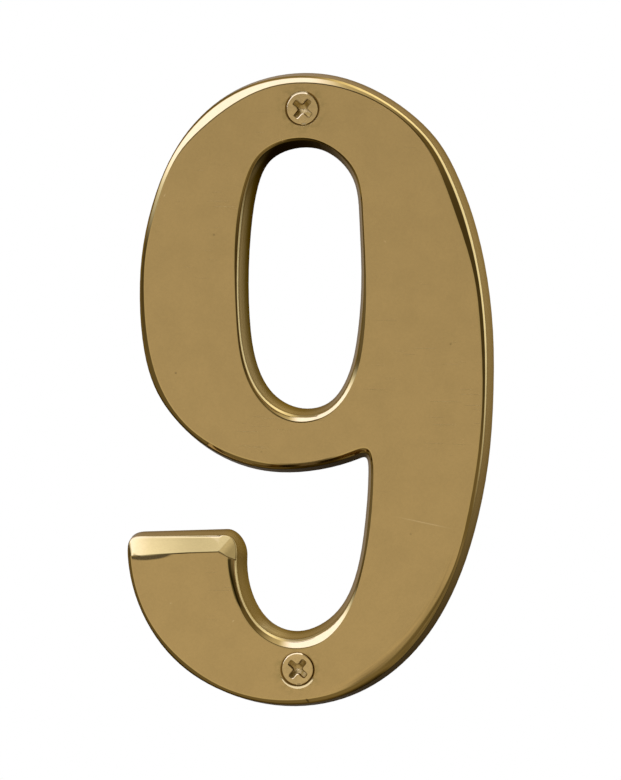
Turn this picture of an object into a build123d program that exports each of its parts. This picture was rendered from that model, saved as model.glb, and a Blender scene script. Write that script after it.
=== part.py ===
from build123d import *
import math
import os

os.makedirs("parts", exist_ok=True)

# The numeral: a figure nine cast in brass, its flat back on the wall at y = 0 and its face
# toward -y. Both fixing screws stand on the line x = 0, at equal heights above and below z = 0.
thickness = 6.35          # a quarter of an inch
crest_width = 68.4        # across the numeral, from crest to crest
hole_spacing = 105.9      # between the two screws
bevel_depth = 1.1         # how far the bevel falls from the face to the crest of the side wall
bevel_width = 1.0         # the outline gives the bevel's width as a multiple of this
side_draft = 0.9          # how much wider than the crest the back is, each side
hollow_draft = 1.25       # the same inside the hook and inside the bowl
crest_round = 0.3         # the crest is rubbed round this far above and below its sharp line
crest_rub = 0.08          # and loses this share of the bevel's width

# Outline of the crest, walked with the metal on the right hand: x, height, and the bevel's width
# there. Places are counted from midway between the screws, x in hundredths of the crest's width
# and height in hundredths of the hole spacing, so that crown and foot keep their places round them.
# From the crotch along the underside of the bowl, up its left side, over the crown, down the long
# back of the nine and round the foot to the left end of the terminal.
bowl_and_back = [
    (15.35, -11.58, 1.1), (2.05, -13.95, 1.0), (-11.40, -14.05, 1.25), (-22.95, -11.68, 1.25),
    (-33.19, -6.96, 1.1), (-40.50, -0.82, 1.45), (-44.74, 8.62, 1.4), (-45.61, 16.37, 1.25),
    (-45.18, 23.26, 1.15), (-41.81, 33.74, 1.3), (-36.26, 42.24, 1.3), (-29.97, 47.80, 2.05),
    (-21.64, 52.16, 2.2), (-9.36, 55.27, 1.65), (8.19, 55.27, 1.35), (19.44, 52.53, 0.95),
    (28.51, 48.66, 0.85), (35.96, 43.75, 1.15), (41.23, 37.71, 1.55), (45.18, 31.19, 1.7),
    (49.27, 20.62, 1.15), (51.17, 10.51, 1.1), (51.46, -0.16, 0.75), (50.58, -10.74, 0.85),
    (47.51, -22.64, 0.75), (43.57, -31.42, 0.5), (36.70, -40.86, 1.25), (26.32, -49.07, 1.35),
    (12.43, -54.65, 1.2), (-3.65, -56.54, 1.15), (-19.74, -54.74, 1.05), (-33.33, -49.83, 1.3),
    (-43.57, -41.52, 0.95), (-48.46, -30.56, 0.95),
]
# Down from the right end of the terminal, round the hollow of the hook and up to the crotch.
hook_hollow = [
    (-17.69, -30.38, 1.7), (-17.25, -34.62, 1.3), (-14.62, -39.54, 1.2), (-9.21, -43.50, 1.3),
    (-1.90, -44.92, 1.65), (5.85, -43.50, 1.9), (11.99, -40.01, 1.15), (16.67, -33.40, 0.55),
    (19.01, -24.42, 0.7), (19.88, -14.99, 0.65),
]
# The opening inside the bowl.
counter = [
    (4.68, 44.03, 0.4), (-4.24, 44.22, 0.5), (-11.84, 41.58, 0.45), (-15.50, 36.57, 0.6),
    (-17.25, 29.59, 0.9), (-17.98, 20.62, 0.6), (-17.54, 12.12, 0.45), (-15.64, 4.65, 0.65),
    (-10.09, -1.86, 0.9), (-1.17, -4.69, 1.3), (7.46, -3.56, 1.05), (13.30, 1.26, 1.1),
    (16.37, 9.28, 1.0), (17.40, 19.67, 0.6), (16.67, 30.91, 0.45), (14.40, 38.55, 0.6),
]
# The terminal is ground to a broad facet. Its upper line belongs to the crest, and its lower line
# is where the facet runs into the face.
terminal_left = (-44.88, -26.84)
terminal_right = (-21.64, -26.41)
facet_left = (-46.20, -30.47)
facet_middle = (-34.94, -29.76)
facet_right = (-22.66, -29.44)
# How far the corner curves reach toward the sharp corner: left and right on the crest, the same at
# the foot of the side wall, and in the crotch.
crest_fullness = (0.78, 0.67)
foot_fullness = (0.72, 0.5)
crotch_fullness = 0.8
terminal_sag = 0.3        # the foot stands out this much less at the terminal's left corner

# The screws: cross-recessed flat-headed wood screws, number six by one inch.
screw_length = 25.4
head_d = 6.1
head_angle = 82           # included angle of the head and of its countersink
head_land = 0.3           # straight rim of the head
head_round = 0.22         # rounding of the rim's edge
head_sink = 0.03          # the head stands this much below the face
neck_d = 3.9              # where the head's cone ends
shank_d = 3.5
root_d = 2.4              # bottom of the thread, whose fine ridge is left out
smooth_shank = 2.1        # plain shank behind the numeral
point_length = 3.4
tip_d = 0.3
hole_d = 4.3
lower_clearance = 0.2     # the lower countersink is this much wider, all of it below the screw

# The cross recess: four arms with steep walls, whose floors fall toward the middle.
recess_reach = 2.05       # from the middle of the cross to the end of an arm
recess_arm = 1.02         # width of an arm
recess_inner_round = 0.5
recess_end_round = 0.3
recess_wall = 0.4         # depth at the end of an arm
recess_wall_lean = 7      # degrees
recess_floor_fall = 19    # degrees
recess_lip = 0.13         # the edge at the mouth is rolled over by this much
recess_turn = 50          # the way one arm points, degrees from +x

crest_height = thickness - bevel_depth
screw_heights = {"upper_screw": hole_spacing / 2, "lower_screw": -hole_spacing / 2}
countersink_clearance = {"upper_screw": 0, "lower_screw": lower_clearance}
head_slope = math.tan(math.radians(head_angle / 2))
rim_depth = head_sink + head_land
mouth_d = head_d + 2 * rim_depth * head_slope


# A point of the outline in millimetres.
def place(x, height):
    return Vector(x * crest_width / 100, height * hole_spacing / 100)


# Direction of travel at every point of a run: that of the circle through it and its neighbours.
def headings(points, closed=False):
    spots = [place(x, height) for x, height, bevel in points]
    count = len(spots)
    ways = [None] * count
    for i in range(count):
        if closed or 0 < i < count - 1:
            before = spots[i] - spots[i - 1]
            after = spots[(i + 1) % count] - spots[i]
            mixed = before.normalized() * after.length + after.normalized() * before.length
            ways[i] = mixed.normalized()
    if not closed:
        for end, beside in ((0, 1), (-1, -2)):
            chord = (spots[beside] - spots[end]).normalized()
            ways[end] = chord * (2 * chord.dot(ways[beside])) - ways[beside]
    return ways


# A run of points moved square to itself into the metal, by the bevel or by a negative draft.
def moved(points, ways, inward):
    return [
        place(x, height)
        + Vector(way.Y, -way.X) * (bevel * bevel_width if inward is None else inward)
        for (x, height, bevel), way in zip(points, ways)
    ]


# A corner curve from one run's end to the next one's start, along both runs' headings.
def corner(start, way_in, end, way_out, fullness):
    span = end - start
    turn = way_in.X * way_out.Y - way_in.Y * way_out.X
    sharp = start + way_in * ((span.X * way_out.Y - span.Y * way_out.X) / turn)
    return [start, start + (sharp - start) * fullness, end + (sharp - end) * fullness, end]


# A straight edge with as many points as a corner curve.
def straight(start, end):
    return [start + (end - start) * (step / 3) for step in range(4)]


# The six curves of a level in order round the numeral, each as its points: the sweep of the bowl
# and the back, the terminal's left corner, its edge and its right corner, the hollow, the crotch.
def outer_points(kind):
    sweep_inward = {"back": -side_draft, "crest": 0, "face": None}[kind]
    hollow_inward = {"back": -hollow_draft, "crest": 0, "face": None}[kind]
    sweep = moved(bowl_and_back, sweep_ways, sweep_inward)
    hollow = moved(hook_hollow, hollow_ways, hollow_inward)
    if kind == "face":
        left, middle, right = place(*facet_left), place(*facet_middle), place(*facet_right)
        terminal = [straight(sweep[-1], left), [left, middle, right], straight(right, hollow[0])]
    else:
        left, right = place(*terminal_left), place(*terminal_right)
        if kind == "back":
            left += Vector(0, side_draft - terminal_sag)
            right += Vector(0, side_draft)
        along = (right - left).normalized()
        at_left, at_right = foot_fullness if kind == "back" else crest_fullness
        terminal = [
            corner(sweep[-1], sweep_ways[-1], left, along, at_left),
            [left, (left + right) / 2, right],
            corner(right, along, hollow[0], hollow_ways[0], at_right),
        ]
    crotch = corner(hollow[-1], hollow_ways[-1], sweep[0], sweep_ways[0], crotch_fullness)
    return [sweep, *terminal, hollow, crotch]


def counter_points(kind):
    inward = {"back": -hollow_draft, "crest": 0, "face": None}[kind]
    return [moved(counter, counter_ways, inward)]


# Points part of the way from one level's curves to another's.
def between(first, second, share):
    return [[a + (b - a) * share for a, b in zip(p, q)] for p, q in zip(first, second)]


# The crest's own level, rubbed back everywhere but along the ground terminal, which is sharp.
def rubbed(crest, face):
    curves = between(crest, face, crest_rub)
    if len(crest) > 1:
        curves[1:4] = [[curves[1][0], *crest[1][1:]], crest[2], [*crest[3][:-1], curves[3][-1]]]
    return curves


# The levels from the wall to the face, with the crest rubbed round between side wall and bevel.
def levels(points_of):
    back, crest, face = (points_of(kind) for kind in ("back", "crest", "face"))
    return [
        (0, back),
        (crest_height - crest_round, between(crest, back, crest_round / crest_height)),
        (crest_height, rubbed(crest, face)),
        (crest_height + crest_round, between(crest, face, crest_round / bevel_depth)),
        (thickness, face),
    ]


# A level as a face of its six curves, kept apart so that each meets its like on the next level.
def outer_section(height, points):
    sweep, left, edge, right, hollow, crotch = points
    curves = [
        Spline(*sweep, tangents=[sweep_ways[0], sweep_ways[-1]], tangent_scalars=[1, 1]),
        Bezier(*left), Bezier(*edge), Bezier(*right),
        Spline(*hollow, tangents=[hollow_ways[0], hollow_ways[-1]], tangent_scalars=[1, 1]),
        Bezier(*crotch),
    ]
    return Plane.XZ.offset(height) * make_face(curves)


sweep_ways, hollow_ways = headings(bowl_and_back), headings(hook_hollow)
counter_ways = headings(counter, closed=True)
outer_sections = [outer_section(height, points) for height, points in levels(outer_points)]

with BuildPart() as numeral:
    loft(outer_sections, ruled=True)
    for height, points in levels(counter_points):
        with BuildSketch(Plane.XZ.offset(height)):
            with BuildLine():
                Spline(*points[0], periodic=True)
            make_face()
    loft(ruled=True, mode=Mode.SUBTRACT)
    for name, z in screw_heights.items():
        clearance = countersink_clearance[name]
        with Locations(Plane(origin=(0, -thickness, z), z_dir=(0, -1, 0))):
            Hole(hole_d / 2, depth=thickness)
        with Locations(Plane(origin=(0, -thickness, z - clearance), z_dir=(0, -1, 0))):
            CounterSinkHole(hole_d / 4, mouth_d / 2 + clearance, depth=thickness,
                            counter_sink_angle=head_angle)

numeral.part.label = "numeral"
export_step(numeral.part, "parts/numeral.step")

# Places along a screw, measured along y from the wall.
head_top = head_sink - thickness
head_rim = head_top + head_land
cone_end = head_rim + (head_d - neck_d) / 2 / head_slope
tip = head_top + screw_length
thread_end = tip - point_length
runout_end = smooth_shank + (shank_d - root_d) / 2
recess_fall = math.tan(math.radians(recess_floor_fall))
recess_middle = head_top + recess_wall + recess_reach * recess_fall
recess_mouth = recess_reach + recess_lip


# The recess at one depth below the head: a cross with rounded ends and inner corners, drawn in by
# the lean of its walls.
def recess_section(z, depth):
    lean = depth * math.tan(math.radians(recess_wall_lean))
    plane = Plane((0, head_top + depth, z), x_dir=(1, 0, 0), z_dir=(0, -1, 0))
    with BuildSketch(plane) as cross:
        for turn in (0, 90):
            Rectangle(2 * (recess_reach - lean), recess_arm - 2 * lean,
                      rotation=recess_turn + turn)
        fillet(cross.vertices().sort_by_distance((0, 0, 0))[:4], recess_inner_round + lean)
        fillet(cross.vertices().sort_by_distance((0, 0, 0))[-8:], recess_end_round - lean)
    return cross.sketch


for name, z in screw_heights.items():
    axis = Axis((0, 0, z), (0, 1, 0))
    with BuildPart() as recess:
        loft([recess_section(z, 0), recess_section(z, recess_middle - head_top)], ruled=True)
        with BuildSketch(Plane.XY.offset(z)):
            with BuildLine():
                Polyline(
                    (0, head_top), (recess_mouth, head_top),
                    (recess_mouth, recess_middle - recess_mouth * recess_fall),
                    (0, recess_middle), close=True,
                )
            make_face()
        revolve(axis=axis, mode=Mode.INTERSECT)

    with BuildPart() as screw:
        # Head, tapered neck inside the numeral, plain shank behind it, core and gimlet point.
        with BuildSketch(Plane.XY.offset(z)):
            with BuildLine():
                Polyline(
                    (0, head_top), (head_d / 2, head_top), (head_d / 2, head_rim),
                    (neck_d / 2, cone_end), (shank_d / 2, 0), (shank_d / 2, smooth_shank),
                    (root_d / 2, runout_end), (root_d / 2, thread_end), (tip_d / 2, tip), (0, tip),
                    close=True,
                )
            make_face()
        revolve(axis=axis)
        fillet(screw.edges().filter_by(GeomType.CIRCLE).sort_by(Axis.Y)[0], head_round)
        add(recess.part, mode=Mode.SUBTRACT)
        head_face = screw.faces().filter_by(Axis.Y).sort_by(Axis.Y)[0]
        chamfer(head_face.inner_wires()[0].edges(), recess_lip, recess_lip / 2,
                reference=head_face)
    screw.part.label = name
    export_step(screw.part, f"parts/{name}.step")
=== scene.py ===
import bpy
import math
from mathutils import Matrix, Vector
from types import SimpleNamespace


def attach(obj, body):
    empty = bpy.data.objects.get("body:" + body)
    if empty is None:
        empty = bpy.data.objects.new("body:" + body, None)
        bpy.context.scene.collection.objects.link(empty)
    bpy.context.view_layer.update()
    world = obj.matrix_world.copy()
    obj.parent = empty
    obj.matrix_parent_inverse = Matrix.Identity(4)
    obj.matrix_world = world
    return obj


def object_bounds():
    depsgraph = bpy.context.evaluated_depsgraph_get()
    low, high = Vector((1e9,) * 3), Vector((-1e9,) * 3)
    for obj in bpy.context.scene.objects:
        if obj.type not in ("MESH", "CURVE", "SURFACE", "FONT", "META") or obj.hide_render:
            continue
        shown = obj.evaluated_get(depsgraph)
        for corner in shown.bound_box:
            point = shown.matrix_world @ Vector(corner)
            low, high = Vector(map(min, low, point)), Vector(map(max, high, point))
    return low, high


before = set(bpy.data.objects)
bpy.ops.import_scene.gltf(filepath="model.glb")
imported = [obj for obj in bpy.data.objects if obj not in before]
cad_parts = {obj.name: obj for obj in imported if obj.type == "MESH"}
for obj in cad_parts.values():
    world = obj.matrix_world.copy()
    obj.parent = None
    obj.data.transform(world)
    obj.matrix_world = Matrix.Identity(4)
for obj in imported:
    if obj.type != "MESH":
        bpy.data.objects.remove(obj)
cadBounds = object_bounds()
mm = 0.001
print("brass nine: frame loaded, nodes", sorted(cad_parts))

scene = bpy.context.scene
scene.view_settings.view_transform = "Standard"


# Small helpers for node trees. A term is a socket or a plain number or tuple.

def addNode(tree, kind, **settings):
    node = tree.nodes.new(kind)
    for name, value in settings.items():
        setattr(node, name, value)
    return node


def feed(tree, socket, term):
    if isinstance(term, bpy.types.NodeSocket):
        tree.links.new(term, socket)
    else:
        socket.default_value = term


def maths(tree, operation, *terms, clamp=False):
    node = addNode(tree, "ShaderNodeMath", operation=operation, use_clamp=clamp)
    for socket, term in zip(node.inputs, terms):
        feed(tree, socket, term)
    return node.outputs[0]


def times(tree, first, *others):
    for other in others:
        first = maths(tree, "MULTIPLY", first, other)
    return first


def plus(tree, first, *others):
    for other in others:
        first = maths(tree, "ADD", first, other)
    return first


def minus(tree, first, second):
    return maths(tree, "SUBTRACT", first, second)


def larger(tree, first, *others):
    for other in others:
        first = maths(tree, "MAXIMUM", first, other)
    return first


def ramp(tree, value, start, end, low=0.0, high=1.0):  # smooth step from low to high
    node = addNode(tree, "ShaderNodeMapRange", interpolation_type="SMOOTHSTEP")
    names = ("Value", "From Min", "From Max", "To Min", "To Max")
    for name, term in zip(names, (value, start, end, low, high)):
        feed(tree, node.inputs[name], term)
    return node.outputs["Result"]


def vectors(tree, operation, *terms):
    node = addNode(tree, "ShaderNodeVectorMath", operation=operation)
    for socket, term in zip(node.inputs, terms):
        feed(tree, socket, term)
    return node.outputs["Value" if operation == "LENGTH" else "Vector"]


def vectorOf(tree, x=0.0, y=0.0, z=0.0):
    node = addNode(tree, "ShaderNodeCombineXYZ")
    for socket, term in zip(node.inputs, (x, y, z)):
        feed(tree, socket, term)
    return node.outputs[0]


def scaled(tree, vector, factor):
    node = addNode(tree, "ShaderNodeVectorMath", operation="SCALE")
    feed(tree, node.inputs[0], vector)
    feed(tree, node.inputs["Scale"], factor)
    return node.outputs[0]


def lean(tree, normal, target, share):  # turns a normal part of the way to another
    node = addNode(tree, "ShaderNodeMix", data_type="VECTOR")
    feed(tree, node.inputs[0], share)
    feed(tree, node.inputs[4], normal)
    feed(tree, node.inputs[5], target)
    return vectors(tree, "NORMALIZE", node.outputs[1])


def tint(tree, first, second, share):  # mixes a share of the second colour into the first
    node = addNode(tree, "ShaderNodeMix", data_type="RGBA")
    feed(tree, node.inputs[0], share)
    feed(tree, node.inputs[6], first)
    feed(tree, node.inputs[7], second)
    return node.outputs[2]


def axesOf(tree, vector):
    node = addNode(tree, "ShaderNodeSeparateXYZ")
    tree.links.new(vector, node.inputs[0])
    return node.outputs


def mixShaders(tree, share, first, second):
    node = addNode(tree, "ShaderNodeMixShader")
    for socket, term in zip(node.inputs, (share, first, second)):
        tree.links.new(term, socket)
    return node.outputs[0]


# The camera stands a little to the right and just above the middle. Angles are in degrees.
view = {
    "azimuth": 8.8,
    "elevation": 1.5,
    "roll": 0.5,
    "distance": 670 * mm,
    "target": (1.53 * mm, -3 * mm, -0.17 * mm),
    "frameHeight": 780,             # pixels
    "millimetrePerPixel": 0.18975,
}


def makeCamera(values):
    azimuth, elevation = math.radians(values["azimuth"]), math.radians(values["elevation"])
    toCamera = Vector((
        math.sin(azimuth) * math.cos(elevation),
        -math.cos(azimuth) * math.cos(elevation),
        math.sin(elevation),
    ))
    right = Vector((math.cos(azimuth), math.sin(azimuth), 0))
    up = toCamera.cross(right)
    turned = Matrix((right, up, toCamera)).transposed() @ Matrix.Rotation(
        math.radians(values["roll"]), 3, "Z")
    camera = bpy.data.objects.new("camera", bpy.data.cameras.new("camera"))
    camera.matrix_world = Matrix.Translation(
        Vector(values["target"]) + toCamera * values["distance"]) @ turned.to_4x4()
    halfHeight = values["frameHeight"] / 2 * values["millimetrePerPixel"] * mm
    camera.data.sensor_fit = "VERTICAL"
    camera.data.angle = 2 * math.atan(halfHeight / values["distance"])
    camera.data.clip_start = 0.01
    scene.collection.objects.link(camera)
    scene.camera = camera


makeCamera(view)
print("brass nine: camera placed")

# The room that lights the brass: each patch of light has a colour, a level and its edges.
# An edge is (axis, dark end, bright end, share left at the dark end), and its ends are parts
# of the direction looked in, from -1 to 1. The camera itself sees plain white instead.
room = {
    "surround": (0.022, 0.018, 0.01),
    "patches": [
        {"name": "front", "color": (1, 1, 1), "level": 0.86,
         "edges": [("y", -0.35, -0.9, 0), ("z", 0.22, 0.11, 0), ("z", -0.9, -0.4, 0),
                   ("x", 0.6, -0.6, 0.78)]},
        {"name": "haze", "color": (1, 0.86, 0.46), "level": 0.11,
         "edges": [("y", 0.75, 0.4, 0)]},
        {"name": "low", "color": (1, 0.9, 0.6), "level": 0.2,
         "edges": [("z", 0.0, -0.22, 0), ("y", 0.8, 0.5, 0), ("x", -0.9, 0.5, 0.45)]},
        {"name": "high", "color": (1, 0.87, 0.5), "level": 0.13,
         "edges": [("z", 0.3, 0.55, 0)]},
        {"name": "left", "color": (1, 0.95, 0.8), "level": 0.04,
         "edges": [("x", -0.6, -0.95, 0)]},
        {"name": "below", "color": (1, 0.95, 0.8), "level": 0.08,
         "edges": [("z", -0.5, -0.9, 0), ("y", 0.5, 0.2, 0)]},
        {"name": "behind", "color": (0.97, 0.97, 1), "level": 0.62,
         "edges": [("y", 0.3, 0.85, 0), ("z", -0.5, 0.15, 0)]},
        {"name": "rim", "color": (0.66, 0.78, 1), "level": 2.8,
         "edges": [("x", -0.1, 0.4, 0), ("y", 0.25, 0.42, 0), ("y", 0.72, 0.56, 0),
                   ("z", -0.3, 0.1, 0)]},
        {"name": "softbox", "color": (0.61, 0.725, 1), "level": 4.2,
         "edges": [("z", 0.13, 0.42, 0), ("x", 0.16, -0.14, 0), ("y", 0.6, 0.1, 0),
                   ("y", -0.98, -0.7, 0)]},
        {"name": "softboxCore", "color": (0.02, 0.06, 1), "level": 2.0,
         "edges": [("z", 0.25, 0.5, 0), ("x", 0.12, -0.14, 0), ("y", 0.5, 0.1, 0),
                   ("y", -0.93, -0.5, 0)]},
        {"name": "softboxSide", "color": (0.9, 0.95, 1), "level": 1.0,
         "edges": [("z", 0.5, 0.8, 0), ("x", 0.75, 0.1, 0), ("x", -0.14, 0.1, 0)]},
    ],
}


def makeWorld(values):
    world = bpy.data.worlds.new("studio")
    scene.world = world
    world.use_nodes = True
    tree = world.node_tree
    tree.nodes.clear()
    direction = addNode(tree, "ShaderNodeTexCoord").outputs["Generated"]
    where = dict(zip("xyz", axesOf(tree, direction)))
    light = addNode(tree, "ShaderNodeBackground")
    light.inputs["Color"].default_value = (*values["surround"], 1)
    light = light.outputs[0]
    for patch in values["patches"]:
        glow = addNode(tree, "ShaderNodeBackground", label=patch["name"])
        glow.inputs["Color"].default_value = (*patch["color"], 1)
        falls = [ramp(tree, where[axis], dark, bright, left)
                 for axis, dark, bright, left in patch["edges"]]
        tree.links.new(times(tree, *falls, patch["level"]), glow.inputs["Strength"])
        together = addNode(tree, "ShaderNodeAddShader")
        tree.links.new(light, together.inputs[0])
        tree.links.new(glow.outputs[0], together.inputs[1])
        light = together.outputs[0]
    white = addNode(tree, "ShaderNodeBackground")
    white.inputs["Color"].default_value = (1, 1, 1, 1)
    isCamera = addNode(tree, "ShaderNodeLightPath").outputs["Is Camera Ray"]
    tree.links.new(mixShaders(tree, isCamera, light, white.outputs[0]),
                   addNode(tree, "ShaderNodeOutputWorld").inputs["Surface"])


makeWorld(room)

# The floor lies well below the part. It is clear from underneath, so that the part shows.
floor = {"drop": 160 * mm, "halfSide": 3000 * mm, "color": (0.86, 0.86, 0.85, 1)}


def makeFloor(values):
    lowest = cadBounds[0][2] - values["drop"]
    side = values["halfSide"]
    corners = [(x * side, y * side, lowest) for x, y in ((-1, -1), (1, -1), (1, 1), (-1, 1))]
    mesh = bpy.data.meshes.new("floor")
    mesh.from_pydata(corners, [], [(0, 1, 2, 3)])
    plane = bpy.data.objects.new("floor", mesh)
    scene.collection.objects.link(plane)
    material = bpy.data.materials.new("paleFloor")
    material.use_nodes = True
    tree = material.node_tree
    tree.nodes.clear()
    paint = addNode(tree, "ShaderNodeBsdfDiffuse")
    paint.inputs["Color"].default_value = values["color"]
    glow = addNode(tree, "ShaderNodeEmission").outputs[0]
    clear = addNode(tree, "ShaderNodeBsdfTransparent").outputs[0]
    isCamera = addNode(tree, "ShaderNodeLightPath").outputs["Is Camera Ray"]
    isUnder = addNode(tree, "ShaderNodeNewGeometry").outputs["Backfacing"]
    fromAbove = mixShaders(tree, isCamera, paint.outputs[0], glow)
    tree.links.new(mixShaders(tree, isUnder, fromAbove, clear),
                   addNode(tree, "ShaderNodeOutputMaterial").inputs["Surface"])
    mesh.materials.append(material)
    plane.visible_glossy = False


makeFloor(floor)
print("brass nine: light and floor made")


# Groups that the brass finishes share.

def newGroup(name, inputs, outputs):
    group = bpy.data.node_groups.new(name, "ShaderNodeTree")
    for socketName, kind, value in inputs:
        socket = group.interface.new_socket(socketName, in_out="INPUT", socket_type=kind)
        if value is not None:
            socket.default_value = value
    for socketName, kind in outputs:
        group.interface.new_socket(socketName, in_out="OUTPUT", socket_type=kind)
    given = addNode(group, "NodeGroupInput").outputs
    made = addNode(group, "NodeGroupOutput").inputs
    return group, given, made


def place(tree, group, **values):  # puts a group into a tree and fills its inputs
    node = addNode(tree, "ShaderNodeGroup", node_tree=group)
    for name, term in values.items():
        feed(tree, node.inputs[name], term)
    return node.outputs


def noise(tree, vector, scale, detail=3.0, roughness=0.5):
    node = addNode(tree, "ShaderNodeTexNoise")
    tree.links.new(vector, node.inputs["Vector"])
    for name, value in (("Scale", scale), ("Detail", detail), ("Roughness", roughness)):
        node.inputs[name].default_value = value
    return node.outputs["Fac"]


# Scales are in waves to the metre. A speck is a cell whose random value is above rareFrom.
patinaGrain = {"clouds": 210, "fine": 2600, "specks": 420, "rareFrom": 0.955}


def makePatina(values):  # mottled lacquer with fine grain and a few dark specks
    group, given, made = newGroup(
        "patina",
        [("Color", "NodeSocketColor", None), ("Vector", "NodeSocketVector", None),
         ("Mottle", "NodeSocketFloat", 0.03), ("Grain", "NodeSocketFloat", 0.02),
         ("Specks", "NodeSocketFloat", 0.3)],
        [("Color", "NodeSocketColor"), ("Height", "NodeSocketFloat")])
    clouds = ramp(group, noise(group, given["Vector"], values["clouds"], 4), 0.3, 0.7, -1, 1)
    fine = noise(group, given["Vector"], values["fine"], 3)
    grain = ramp(group, fine, 0.25, 0.75, -1, 1)
    cells = addNode(group, "ShaderNodeTexVoronoi")
    group.links.new(given["Vector"], cells.inputs["Vector"])
    cells.inputs["Scale"].default_value = values["specks"]
    chance = axesOf(group, cells.outputs["Color"])[0]
    rare = ramp(group, chance, values["rareFrom"], values["rareFrom"] + 0.015)
    dot = ramp(group, cells.outputs["Distance"], 0.13, 0.05)
    uneven = plus(group, times(group, clouds, given["Mottle"]), times(group, grain, given["Grain"]))
    level = minus(group, plus(group, 1.0, uneven), times(group, rare, dot, given["Specks"]))
    group.links.new(scaled(group, given["Color"], level), made["Color"])
    group.links.new(fine, made["Height"])
    return group


hairlines = {
    "runs": [(0.35, 0.0), (-1.1, 3.7)],      # turn about the depth axis, in radians, and shift
    "scale": (90, 20, 4200),
    "patches": 45,
}


def makeScratches(values):  # sparse hairlines in two directions
    group, given, made = newGroup(
        "scratches",
        [("Vector", "NodeSocketVector", None), ("Spread", "NodeSocketFloat", 1.0)],
        [("Mask", "NodeSocketFloat")])
    masks = []
    for turn, shift in values["runs"]:
        mapping = addNode(group, "ShaderNodeMapping")
        group.links.new(given["Vector"], mapping.inputs["Vector"])
        mapping.inputs["Rotation"].default_value = (0, turn, 0)
        mapping.inputs["Location"].default_value = (shift, shift, 0)
        mapping.inputs["Scale"].default_value = values["scale"]
        masks.append(ramp(group, noise(group, mapping.outputs[0], 1.0, 1.0), 0.745, 0.77))
    patchy = ramp(group, noise(group, given["Vector"], values["patches"], 1.0), 0.5, 0.62)
    group.links.new(times(group, larger(group, *masks), patchy, given["Spread"]), made["Mask"])
    return group


patina = makePatina(patinaGrain)
scratches = makeScratches(hairlines)


def spotMask(tree, x, z, middle, halves, turn, soft):  # a soft ellipse on the front
    turn = math.radians(turn)
    across, up = minus(tree, x, middle[0]), minus(tree, z, middle[1])
    along = plus(tree, times(tree, across, math.cos(turn)), times(tree, up, math.sin(turn)))
    side = minus(tree, times(tree, up, math.cos(turn)), times(tree, across, math.sin(turn)))
    flat = vectorOf(tree, times(tree, along, 1 / halves[0]), times(tree, side, 1 / halves[1]))
    return ramp(tree, vectors(tree, "LENGTH", flat), 1.0, 1.0 - soft)


def fillShader(tree, values, color, rough, height, normal):  # what both brass finishes end with
    shader = tree.nodes["Principled BSDF"]
    bump = addNode(tree, "ShaderNodeBump")
    bump.inputs["Distance"].default_value = values["bumpDepth"]
    bump.inputs["Strength"].default_value = values["bumpStrength"]
    tree.links.new(height, bump.inputs["Height"])
    tree.links.new(normal, bump.inputs["Normal"])
    tree.links.new(bump.outputs[0], shader.inputs["Normal"])
    tree.links.new(color, shader.inputs["Base Color"])
    tree.links.new(rough, shader.inputs["Roughness"])
    shader.inputs["Metallic"].default_value = 1
    shader.inputs["Specular Tint"].default_value = values["edgeTint"]


screwHeight = 52.95     # mm from the middle of the part to each screw

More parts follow.
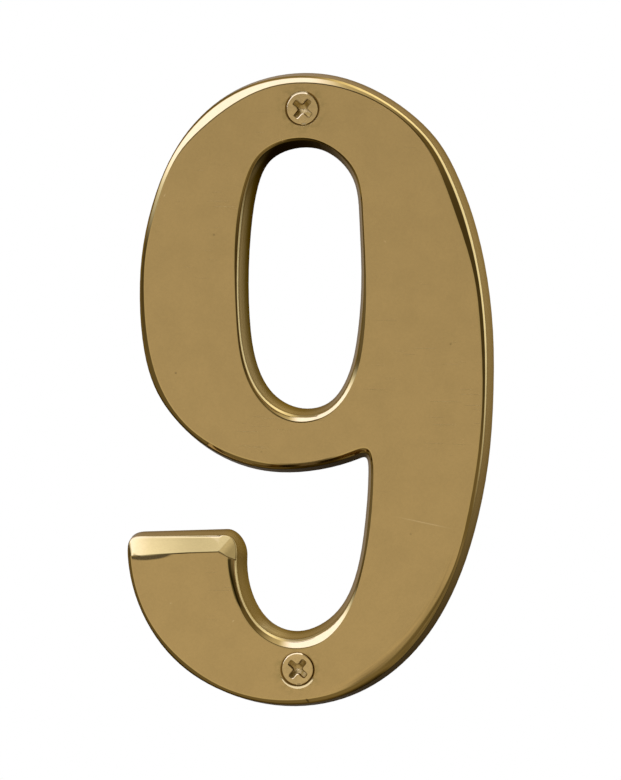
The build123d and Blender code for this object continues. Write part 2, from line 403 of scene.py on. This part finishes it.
# The numeral: satin face, bright bevels, streaky side walls with a brown edge, dull raw back.
# Lengths in millimetres, depth from the face. Steepness is how much a surface looks to the
# front for each part sideways, so the face has the most and the side walls next to none.
# A lean is the direction that a part of the surface is shaded toward.
numeralBrass = {
    "face": (0.404, 0.273, 0.107, 1),
    "bevel": (0.4, 0.275, 0.105, 1),
    "wall": (0.398, 0.297, 0.14, 1),
    # brown of the side walls, also used as painted shade in the dent, along the left rim and on the
    # rubbed foot
    "wallBrownAndShade": (0.15, 0.105, 0.045, 1),
    # painted shade for the walls in the hollow
    "wallShadeInHollow": (0.25, 0.158, 0.048, 1),
    # painted light for the right-facing walls at the right
    "wallLitAtRight": (0.56, 0.425, 0.2, 1),
    "facet": (0.34, 0.232, 0.078, 1),
    "corner": (0.4, 0.262, 0.08, 1),
    # painted shade of the dark bevel below the hook's corner
    "wedgeShade": (0.085, 0.06, 0.015, 1),
    "dark": (0.05, 0.03, 0.008, 1),
    "raw": (0.24, 0.17, 0.08, 1),
    "rawDark": (0.13, 0.098, 0.05, 1),
    "stain": (0.2, 0.155, 0.05, 1),
    # painted shade of the gap round each screw head
    "sinkRingShade": (0.15, 0.08, 0.016, 1),
    "edgeTint": (0.72, 0.55, 0.34, 1),         # of the metal seen at a glancing angle
    "faceRoughness": 0.2,
    "bevelRoughness": 0.07,
    "wallRoughness": 0.25,
    "rawRoughness": 0.55,
    "footRoughness": 0.22,
    "thickness": 6.35,
    "crestDepth": 1.1,
    "crestReach": (-0.5, 0.45),      # where the crest's rounding starts on the bevel and ends
    "crestWiderAtTop": 0.28,
    "edgeSteepness": 8,              # of the narrow worn strip between face and bevel
    "litSteepness": 1.35,            # least steepness of the bevels that look up to the left
    "innerSteepness": 2.0,           # and of the openings' right-hand bevels
    "foot": {"middle": (-11.8, -18.1), "radius": 44.7, "reach": 2.8, "lean": 0.4, "fall": 2.6},
    "rimLean": (0.38, -0.92, -0.12),
    "facetLean": (-0.3, -0.8, 0.46),
    "facetLeanShare": 0.29,
    "dentLean": (0, -0.985, 0.17),
    "mitre": {"point": (-13.06, -28.07), "across": (0.77, -0.638), "width": 0.12},
    "cornerLeans": [(0, -0.94, 0.335), (0.02, -0.952, 0.295), (0.02, -0.96, 0.262)],
    "glintLean": (-0.026, -0.93, 0.37),
    "sinkHeight": 53.05,             # a touch past the screws' middles
    "sinkRadius": 3.75,
    "places": {                      # middle, half lengths, turn in degrees and softness
        "bowl": ((-0.3, 20.9), (13.6, 27.6), 0, 0.03),
        "facet": ((-24.0, -30.2), (9.5, 3.0), 0, 0.1),
        "dent": ((-28.6, -31.75), (5.2, 1.25), 6, 0.3),
        "corner": ((-12.9, -29.8), (3.0, 3.3), 0, 0.2),
        "wedgeShade": ((-12.0, -35.8), (1.25, 6.2), 11.3, 0.12),
        "hollowLeftShade": ((-10.5, -37.5), (6.0, 11.5), 0, 0.4),
        "underBowlShade": ((-5, -14.5), (20, 4), 0, 0.3),
        "crotch": ((3.0, -14.2), (10, 2.4), 0, 0.6),
        "nick": ((1.9, -58.9), (0.28, 0.6), 30, 0.6),
    },
    "scuff": (0.62, 0.47, 0.25, 1),
    "scuffs": [                      # middle, half lengths, turn and softness of each
        ((-26.3, 36.5), (0.45, 0.16), 55, 0.8),
        ((-12.4, -44.1), (0.4, 0.16), 50, 0.8),
        ((24.0, -24.8), (6.5, 0.14), -11, 0.8),
        ((-24.5, -41.0), (0.3, 0.14), 20, 0.8),
        ((16.0, 28.0), (0.32, 0.14), -40, 0.8),
    ],
    "streaks": (90, 2600, 90),       # waves to the metre, drawn along the walls
    "bumpDepth": 0.02 * mm,
    "bumpStrength": 0.35,
}


def surveyNumeral(tree, values):  # measures and masks that its normal and its colour share
    at = SimpleNamespace()
    at.spot = addNode(tree, "ShaderNodeTexCoord").outputs["Object"]
    at.normal = addNode(tree, "ShaderNodeNewGeometry").outputs["Normal"]
    at.x, y, at.z = (times(tree, axis, 1 / mm) for axis in axesOf(tree, at.spot))
    at.across, at.toBack, at.up = axesOf(tree, at.normal)
    at.depth = plus(tree, y, values["thickness"])
    crestDepth = values["crestDepth"]

    # the way out of the metal, square to the wall's edge
    level = vectorOf(tree, at.across, 0, at.up)
    at.outward = vectors(tree, "NORMALIZE", level)
    at.spread = vectors(tree, "LENGTH", level)
    toFront = times(tree, at.toBack, -1)
    steepness = maths(tree, "DIVIDE", toFront, larger(tree, at.spread, 0.05))

    # how far it is to the middle of the nearer screw
    past = minus(tree, maths(tree, "ABSOLUTE", at.z), values["sinkHeight"])
    at.fromScrew = vectors(tree, "LENGTH", vectorOf(tree, at.x, 0, past))
    sinkRadius = values["sinkRadius"]
    at.inSink = ramp(tree, at.fromScrew, sinkRadius + 0.07, sinkRadius - 0.07)
    at.clear = minus(tree, 1.0, at.inSink)

    # which part of the casting this is
    at.within = {name: spotMask(tree, at.x, at.z, *ellipse)
                 for name, ellipse in values["places"].items()}
    at.onFace = ramp(tree, at.toBack, -0.985, -0.998)
    at.onBack = ramp(tree, at.toBack, 0.5, 0.9)
    at.onWall = times(tree, ramp(tree, at.depth, crestDepth, crestDepth + 0.3), at.clear)
    at.onFacet = times(tree, ramp(tree, steepness, 2.2, 2.8), ramp(tree, steepness, 6.5, 5.0),
                       at.within["facet"])
    at.dent = times(tree, at.within["dent"], ramp(tree, at.toBack, -0.99, -0.997))

    # bevels that look to the light count as flatter than they are, so that they mirror it
    litSteepness = values["litSteepness"]
    lit = times(tree, ramp(tree, at.across, 0, -0.3), ramp(tree, at.up, 0.02, 0.3), litSteepness)
    inner = times(tree, ramp(tree, at.across, -0.3, -0.7), ramp(tree, at.x, 0, 4),
                  ramp(tree, at.up, -0.2, 0.0),
                  ramp(tree, at.up, 0.08, 0.36, values["innerSteepness"], litSteepness))
    least = larger(tree, lit, inner, ramp(tree, at.across, 0.1, 0.3))
    onBevel = ramp(tree, at.depth, crestDepth + 0.2, crestDepth)
    at.steep = larger(tree, steepness, times(tree, least, onBevel))
    at.slope = larger(tree, at.steep, 1.0)
    at.reach = times(tree, minus(tree, at.depth, crestDepth), at.slope)

    # the lower right of the foot, and how far in from its outline
    foot = values["foot"]
    fromMiddle = vectorOf(tree, minus(tree, at.x, foot["middle"][0]), 0,
                          minus(tree, at.z, foot["middle"][1]))
    at.footOutward = vectors(tree, "NORMALIZE", fromMiddle)
    at.inside = minus(tree, foot["radius"], vectors(tree, "LENGTH", fromMiddle))
    at.onFoot = times(tree, ramp(tree, at.x, 3, 14), ramp(tree, at.z, -27, -38),
                      ramp(tree, at.inside, 6, 5),
                      ramp(tree, at.depth, crestDepth + 0.9, crestDepth + 0.4))

    # the corner of the hook's end, left and right of the mitre that runs through it
    mitre = values["mitre"]
    pastMitre = plus(tree, *(
        times(tree, minus(tree, value, start), share)
        for value, start, share in zip((at.x, at.z), mitre["point"], mitre["across"])))
    at.leftOfMitre = ramp(tree, pastMitre, mitre["width"], 0)
    at.rightOfMitre = ramp(tree, pastMitre, 0, mitre["width"])
    at.farFromMitre = ramp(tree, pastMitre, 0.4, 1.8)
    aboveCorner = plus(tree, at.z, times(tree, plus(tree, at.x, 13.0), 0.5))
    at.onCorner = times(tree, at.within["corner"], ramp(tree, at.depth, 0.05, 0.15),
                        ramp(tree, at.reach, 0.12, -0.1), ramp(tree, aboveCorner, -32.4, -32.0))

    # countersinks: a ring painted dark as shade, a bright arc at the top left and, in the lower
    # one, below
    at.sinkWall = times(tree, at.inSink, ramp(tree, at.depth, 0.01, 0.03),
                        ramp(tree, at.depth, 3.0, 2.0))
    at.ring = times(tree, at.sinkWall, ramp(tree, at.fromScrew, 3.4, 3.25))
    crescent = plus(tree, at.fromScrew, ramp(tree, at.x, 0.0, -2.6, 0, -0.14))
    below = times(tree, ramp(tree, at.z, -54.2, -55.2), ramp(tree, crescent, 3.15, 3.3),
                  at.sinkWall)
    screwSide = maths(tree, "SIGN", at.z)
    overScrew = minus(tree, at.z, times(tree, screwSide, values["sinkHeight"]))
    topArc = times(tree, ramp(tree, overScrew, 1.7, 2.5), ramp(tree, at.x, 1.2, 0.7),
                   ramp(tree, at.x, -2.9, -2.1), ramp(tree, at.fromScrew, 3.22, 3.12), at.sinkWall)
    at.glint = larger(tree, below, topArc)
    return at


def bendNumeral(tree, values, at):  # the normal: rounded crest, rubbed foot, facet and sinks
    # bevel, crest and the strip next to the face, as one rounded profile
    start, end = values["crestReach"]
    atTop = times(tree, ramp(tree, at.up, 0.25, 0.6), ramp(tree, at.across, 0.0, 0.2))
    start = plus(tree, start, times(tree, atTop, -values["crestWiderAtTop"]))
    profile = plus(tree, ramp(tree, at.reach, start, -0.08, at.steep, 0.55),
                   ramp(tree, at.reach, 0.12, end, 0, -0.35))
    strip = ramp(tree, times(tree, at.depth, at.slope), 0.1, 0.36, values["edgeSteepness"], 0)
    toFront = vectorOf(tree, 0, times(tree, larger(tree, profile, strip), -1))
    rounded = vectors(tree, "NORMALIZE", vectors(tree, "ADD", at.outward, toFront))
    isRounded = times(tree, ramp(tree, at.spread, 0.03, 0.09), ramp(tree, at.reach, 0.6, 0.35),
                      at.clear)
    turned = lean(tree, at.normal, rounded, isRounded)

    # the lower right of the foot is rubbed down softly by polishing, the rim above it less
    foot = values["foot"]
    fallen = plus(tree, ramp(tree, at.inside, foot["reach"], 0.9, 0, foot["lean"]),
                  ramp(tree, at.depth, 0.02, 1.5, 0, foot["fall"]))
    outward = scaled(tree, at.footOutward, fallen)
    rubbed = vectors(tree, "NORMALIZE", vectors(tree, "ADD", outward, (0, -1, 0)))
    turned = lean(tree, turned, rubbed, at.onFoot)
    rim = times(tree, ramp(tree, at.x, 15, 22), ramp(tree, at.z, -20, -30),
                ramp(tree, at.depth, 0.45, 0.75), ramp(tree, at.depth, 1.6, 1.1),
                ramp(tree, at.across, 0, 0.2))
    turned = lean(tree, turned, values["rimLean"], times(tree, rim, 0.75))

    # the ground facet: its left end turns toward the light, and a shallow dent lies under it
    facetLean = ramp(tree, at.x, -18, -32.5, 0, values["facetLeanShare"])
    turned = lean(tree, turned, values["facetLean"], times(tree, at.onFacet, facetLean))
    turned = lean(tree, turned, values["dentLean"], at.dent)
    for target, side in zip(values["cornerLeans"],
                            (at.leftOfMitre, at.rightOfMitre, at.farFromMitre)):
        turned = lean(tree, turned, target, times(tree, at.onCorner, side))

    # the countersinks shine nearly as the face does, and catch the light in two arcs
    flat = minus(tree, at.sinkWall, times(tree, at.ring, 0.2))
    turned = lean(tree, turned, (0, -1, 0), flat)
    return lean(tree, turned, values["glintLean"], at.glint)


def paintWall(tree, values, at):  # drawn streaks, brown toward the back and under the crest, painted shade in and under the bowl and in the hollow, painted light on the right-hand walls
    crestDepth = values["crestDepth"]
    streakMap = addNode(tree, "ShaderNodeMapping")
    tree.links.new(at.spot, streakMap.inputs["Vector"])
    streakMap.inputs["Scale"].default_value = values["streaks"]
    streak = ramp(tree, noise(tree, streakMap.outputs[0], 1.0, 2.0), 0.4, 0.7, 0, 0.25)
    underCrest = times(tree, ramp(tree, at.depth, crestDepth + 0.25, crestDepth + 0.45),
                       ramp(tree, at.depth, crestDepth + 1.1, crestDepth + 0.5, 0, 0.55))
    brown = larger(tree, ramp(tree, at.depth, 3.0, values["thickness"], 0, 0.85), underCrest)
    brown = maths(tree, "ADD", brown, streak, clamp=True)
    # painted shade: the bowl's walls darker toward the back and the top, and where they face down
    bowlShade = larger(
        tree,
        times(tree, ramp(tree, at.depth, 1.4, 6.0), ramp(tree, at.z, -4, 38, 0.4, 0.85)),
        times(tree, ramp(tree, at.up, -0.05, -0.6, 0, 0.9), ramp(tree, at.depth, 0.6, 2.5)))
    # painted shade on the down-facing walls under the bowl
    underBowlShade = times(tree, ramp(tree, at.up, -0.6, -0.9), at.within["underBowlShade"])
    # painted shade on the right-facing walls at the hollow's left
    hollowLeftShade = times(tree, at.within["hollowLeftShade"], ramp(tree, at.across, 0.0, 0.4))
    # painted light: the right-facing walls at the right are made lighter
    litRightSide = times(tree, ramp(tree, at.across, 0.2, 0.7), ramp(tree, at.x, 12, 18),
                      ramp(tree, at.z, 50, 30, 0.4, 1))
    wall = values["wall"]
    for paint, share in (("wallBrownAndShade", brown), ("dark", times(tree, bowlShade, at.within["bowl"])),
                         ("dark", times(tree, underBowlShade, 0.8)),
                         ("wallShadeInHollow", times(tree, hollowLeftShade, 0.75)),
                         ("wallLitAtRight", times(tree, litRightSide, 0.5))):
        wall = tint(tree, wall, values[paint], share)
    return wall


def paintNumeral(tree, values, at):
    color = tint(tree, values["bevel"], values["face"], at.onFace)
    color = tint(tree, color, paintWall(tree, values, at), at.onWall)

    # painted shade under the bowl's top, at the crotch and in the dent under the facet, then the
    # facet and its corner, a painted dark wedge of bevel and a painted dark line along the left rim
    crotch = times(tree, at.within["crotch"], ramp(tree, at.up, -0.4, -0.6))
    bowlTopShade = times(tree, at.within["bowl"], ramp(tree, at.up, 0.0, -0.35),
                    ramp(tree, at.depth, 0.05, 0.9), 0.6)
    facet = larger(tree, at.onFacet, times(tree, at.onCorner, at.leftOfMitre))
    # painted shade: a dark wedge where the bevel looks wider below the hook's corner
    wedgeShade = times(tree, at.within["wedgeShade"], ramp(tree, at.depth, 0.6, 0.4),
                  ramp(tree, at.z, -32.0, -32.6), ramp(tree, at.across, -0.2, -0.05))
    # painted shade: a dark line along the crest of the left-facing outer rim
    leftRimShade = times(tree, ramp(tree, at.across, -0.15, -0.4), ramp(tree, at.reach, -0.2, 0.0),
                    ramp(tree, at.x, -6, -14))
    for paint, share in (("dark", larger(tree, times(tree, crotch, 0.85), bowlTopShade)),
                         # painted shade in the dent under the facet
                         ("wallBrownAndShade", times(tree, at.dent, 0.6)),
                         ("facet", times(tree, facet, ramp(tree, at.x, -32, -28))),
                         ("corner", times(tree, at.onCorner, at.rightOfMitre)),
                         ("wedgeShade", times(tree, wedgeShade, 0.9)),
                         ("wallBrownAndShade", times(tree, leftRimShade, 0.8))):
        color = tint(tree, color, values[paint], share)

    # the back is left as cast
    mottle = ramp(tree, noise(tree, at.spot, 95, 6, 0.65), 0.38, 0.66)
    color = tint(tree, color, tint(tree, values["raw"], values["rawDark"], mottle), at.onBack)

    # stain round the screws, painted shade in the dark ring round each screw head, a nick in the
    # foot and a few scuffs
    blotches = ramp(tree, noise(tree, at.spot, 900, 3), 0.4, 0.62)
    stain = times(tree, ramp(tree, at.fromScrew, 5.6, 3.3), blotches, at.onFace)
    ringShade = maths(tree, "SUBTRACT", at.ring, at.glint, clamp=True)
    color = tint(tree, color, values["stain"], times(tree, stain, 0.3))
    color = tint(tree, color, values["sinkRingShade"], ringShade)
    color = tint(tree, color, values["dark"], times(tree, at.within["nick"], 0.7))
    for scuff in values["scuffs"]:
        mark = times(tree, spotMask(tree, at.x, at.z, *scuff), at.onFace)
        color = tint(tree, color, values["scuff"], times(tree, mark, 0.45))

    # painted shade on the rubbed foot, streaky along its edge and darker toward it
    alongFoot = vectorOf(tree, times(tree, at.inside, 2.2), times(tree, at.x, 0.12))
    streakyShade = ramp(tree, noise(tree, alongFoot, 1.0, 4), 0.35, 0.7)
    return tint(tree, color, values["wallBrownAndShade"],
                times(tree, streakyShade, at.onFoot, ramp(tree, at.inside, 3.2, 1), 0.4))


def makeNumeralBrass(values):
    material = bpy.data.materials.new("numeralBrass")
    material.use_nodes = True
    tree = material.node_tree
    at = surveyNumeral(tree, values)
    worn = place(tree, patina, Color=paintNumeral(tree, values, at), Vector=at.spot,
                 Mottle=0.025, Grain=0.025, Specks=0.3)
    lines = place(tree, scratches, Vector=at.spot, Spread=1.0)["Mask"]
    lines = times(tree, lines, at.onFace)

    bevel = values["bevelRoughness"]
    rough = plus(tree, ramp(tree, at.onFace, 0, 1, bevel, values["faceRoughness"]),
                 times(tree, at.onWall, values["wallRoughness"] - bevel),
                 times(tree, at.onBack, values["rawRoughness"] - bevel),
                 times(tree, lines, 0.12))
    rough = larger(tree, rough, times(tree, at.onFoot, values["footRoughness"]),
                   times(tree, at.sinkWall, 0.25))

    grain = times(tree, worn["Height"], plus(tree, 0.25, at.onWall))
    pits = times(tree, at.onBack, noise(tree, at.spot, 700, 6), 4.0)
    height = minus(tree, plus(tree, grain, pits), times(tree, lines, 0.8))
    fillShader(tree, values, worn["Color"], rough, height, bendNumeral(tree, values, at))
    return material


# The screws: turned heads, a shade lighter than the numeral. Lengths in millimetres.
screwBrass = {
    "color": (0.465, 0.325, 0.14, 1),
    # dirt and painted shade in the cross recess
    "recessDirtAndShade": (0.225, 0.135, 0.032, 1),
    "middle": (0.42, 0.275, 0.09, 1),
    "shadow": (0.15, 0.08, 0.016, 1),
    "edgeTint": (0.6, 0.46, 0.24, 1),
    "roughness": (0.16, 0.26),
    "recessRoughness": 0.38,
    "ringSpacing": 0.16,      # between the marks of the turning tool
    "headTop": -6.32,
    "headRadius": 3.05,
    "rimLean": (-0.03, -0.93, 0.37),
    "lipLean": (-0.1, -0.98, 0.16),
    "rimFoot": ((0.35, -2.9), (0.8, 0.5), 0, 0.7),      # middle, half lengths, turn, softness
    "bumpDepth": 0.01 * mm,
    "bumpStrength": 0.4,
}


def makeScrewBrass(values, name, height):
    material = bpy.data.materials.new(name)
    material.use_nodes = True
    tree = material.node_tree
    spot = addNode(tree, "ShaderNodeTexCoord").outputs["Object"]
    normal = addNode(tree, "ShaderNodeNewGeometry").outputs["Normal"]
    toBack = axesOf(tree, normal)[1]
    x, y, z = (times(tree, axis, 1 / mm) for axis in axesOf(tree, spot))
    z = minus(tree, z, height)
    radius = vectors(tree, "LENGTH", vectorOf(tree, x, 0, z))
    headRadius = values["headRadius"]
    sunk = minus(tree, y, values["headTop"])
    lumps = noise(tree, spot, 1500, 2)

    # which part of the head this is
    onHead = ramp(tree, toBack, -0.9, -0.98)
    inRecess = times(tree, ramp(tree, radius, 2.5, 2.3), ramp(tree, sunk, 0.05, 0.12),
                     ramp(tree, sunk, 3.0, 2.5))
    onRim = times(tree, ramp(tree, radius, headRadius - 0.1, headRadius - 0.02),
                  ramp(tree, sunk, 0.12, 0.25), ramp(tree, sunk, 1.2, 0.6))
    middle = times(tree, ramp(tree, radius, 0.85, 0.45), ramp(tree, lumps, 0.4, 0.55, 0.35, 1),
                   0.8)
    lip = times(tree, ramp(tree, toBack, -0.98, -0.96), ramp(tree, toBack, -0.75, -0.85),
                ramp(tree, radius, 2.5, 2.4), ramp(tree, sunk, 0.16, 0.12), ramp(tree, x, 0.2, 0.4))

    # dirt and painted shade in the cross: its arms are darker the nearer to their ends, and their
    # steep sides at the right and top get painted shade
    dirtAndShade = times(tree, inRecess, ramp(tree, radius, 0.3, 1.0, 0.3, 1.0),
                 ramp(tree, lumps, 0.62, 0.42, 0.6, 1))
    steep = times(tree, ramp(tree, toBack, -0.55, -0.35), ramp(tree, radius, 2.6, 2.45))
    shaded = larger(tree, ramp(tree, x, -0.1, 0.25), ramp(tree, z, -0.4, 0.1))
    color = values["color"]
    for paint, share in (("recessDirtAndShade", dirtAndShade),
                         ("shadow", times(tree, steep, shaded, ramp(tree, sunk, 0.02, 0.06), 0.8)),
                         # painted shade on the lips of the right-hand arms, and on the rim except
                         # at its top
                         ("shadow", times(tree, lip, 0.9)),
                         ("middle", middle),
                         ("shadow", times(tree, onRim, ramp(tree, z, 2.6, 2.2)))):
        color = tint(tree, color, values[paint], share)
    worn = place(tree, patina, Color=color, Vector=spot, Mottle=0.08, Grain=0.06, Specks=0.4)

    # the rim is rounded, and catches the light at its top and a little at its foot
    aroundTop = times(tree, ramp(tree, z, 1.8, 2.5), ramp(tree, x, 1.2, 0.7))
    rimTop = times(tree, ramp(tree, radius, 2.78, 2.88), aroundTop, ramp(tree, sunk, 0.35, 0.2))
    rimFoot = times(tree, ramp(tree, radius, 2.72, 2.85), ramp(tree, sunk, 0.35, 0.2),
                    spotMask(tree, x, z, *values["rimFoot"]), 0.7)
    turned = lean(tree, normal, values["rimLean"], larger(tree, rimTop, rimFoot))
    turned = lean(tree, turned, values["lipLean"], larger(tree, middle, lip))

    # marks of the turning tool, a little uneven
    wander = times(tree, noise(tree, spot, 260, 2), 9.0)
    turns = times(tree, radius, 2 * math.pi / values["ringSpacing"])
    rings = maths(tree, "SINE", plus(tree, turns, wander))
    raised = plus(tree, worn["Height"], times(tree, rings, onHead, 0.3),
                  times(tree, lumps, inRecess, 9.0))

    rough = ramp(tree, noise(tree, spot, 800, 2), 0.3, 0.7, *values["roughness"])
    rough = larger(tree, rough, times(tree, inRecess, values["recessRoughness"]))
    fillShader(tree, values, worn["Color"], rough, raised, turned)
    return material


brass = makeNumeralBrass(numeralBrass)
screwFinish = {
    "upper_screw": makeScrewBrass(screwBrass, "upperScrewBrass", screwHeight),
    "lower_screw": makeScrewBrass(screwBrass, "lowerScrewBrass", -screwHeight),
}
for name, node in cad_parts.items():
    node.data.materials.clear()
    node.data.materials.append(screwFinish.get(name, brass))
print("brass nine: materials made")

# The thread of each screw: one sharp ridge wound round the core, as on a wood screw, that
# starts on the shank and dies away on the point. Lengths in millimetres, from the wall.
thread = {
    "pitch": 1.411,            # eighteen turns to the inch
    "start": 2.25,
    "pointStart": 15.68,
    "tip": 19.08,
    "rootRadius": 1.2,
    "crestRadius": 1.75,
    "tipRadius": 0.15,
    "ridgeWidth": 0.78,
    "crestWidth": 0.1,
    "rooted": 0.08,            # how far the ridge's foot lies in the core
    "leastRadius": 0.03,
    "endGap": 0.25,            # left bare before the tip
    "fade": 0.7,               # how the ridge dies away on the point
    "stepsPerTurn": 40,
    "sharpAngle": 35,
}


def threadSection(values, along):  # root and crest radius at a distance from the wall
    taper = max(0.0, (along - values["pointStart"]) / (values["tip"] - values["pointStart"]))
    root = values["rootRadius"] + (values["tipRadius"] - values["rootRadius"]) * taper
    proud = (values["crestRadius"] - values["rootRadius"]) * (1 - taper) ** values["fade"]
    return root, root + proud


def makeThread(values, name, node, height):
    turns = (values["tip"] - values["endGap"] - values["start"]) / values["pitch"]
    steps = int(turns * values["stepsPerTurn"])
    points, faces = [], []
    for step in range(steps + 1):
        angle = 2 * math.pi * step / values["stepsPerTurn"]
        along = values["start"] + values["pitch"] * step / values["stepsPerTurn"]
        root, crest = threadSection(values, along)
        shrink = (crest - root) / (values["crestRadius"] - values["rootRadius"])
        half, top = values["ridgeWidth"] / 2 * shrink, values["crestWidth"] / 2 * shrink
        inCore = root - values["rooted"]
        for offset, radius in ((-half, inCore), (-top, crest), (top, crest), (half, inCore)):
            radius = max(radius, values["leastRadius"])
            points.append(((radius * math.sin(angle)) * mm, (along + offset) * mm,
                           height + radius * math.cos(angle) * mm))
    for step in range(steps):
        here, there = 4 * step, 4 * step + 4
        for k in range(4):
            following = (k + 1) % 4
            faces.append((here + k, here + following, there + following, there + k))
    faces.append((3, 2, 1, 0))
    faces.append((4 * steps, 4 * steps + 1, 4 * steps + 2, 4 * steps + 3))
    mesh = bpy.data.meshes.new(name)
    mesh.from_pydata(points, [], faces)
    mesh.validate()
    mesh.shade_smooth()
    mesh.set_sharp_from_angle(angle=math.radians(values["sharpAngle"]))
    ridge = bpy.data.objects.new(name, mesh)
    scene.collection.objects.link(ridge)
    mesh.materials.append(screwFinish[node])
    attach(ridge, "root")


makeThread(thread, "upperScrewThread", "upper_screw", screwHeight * mm)
makeThread(thread, "lowerScrewThread", "lower_screw", -screwHeight * mm)
print("brass nine: threads made")
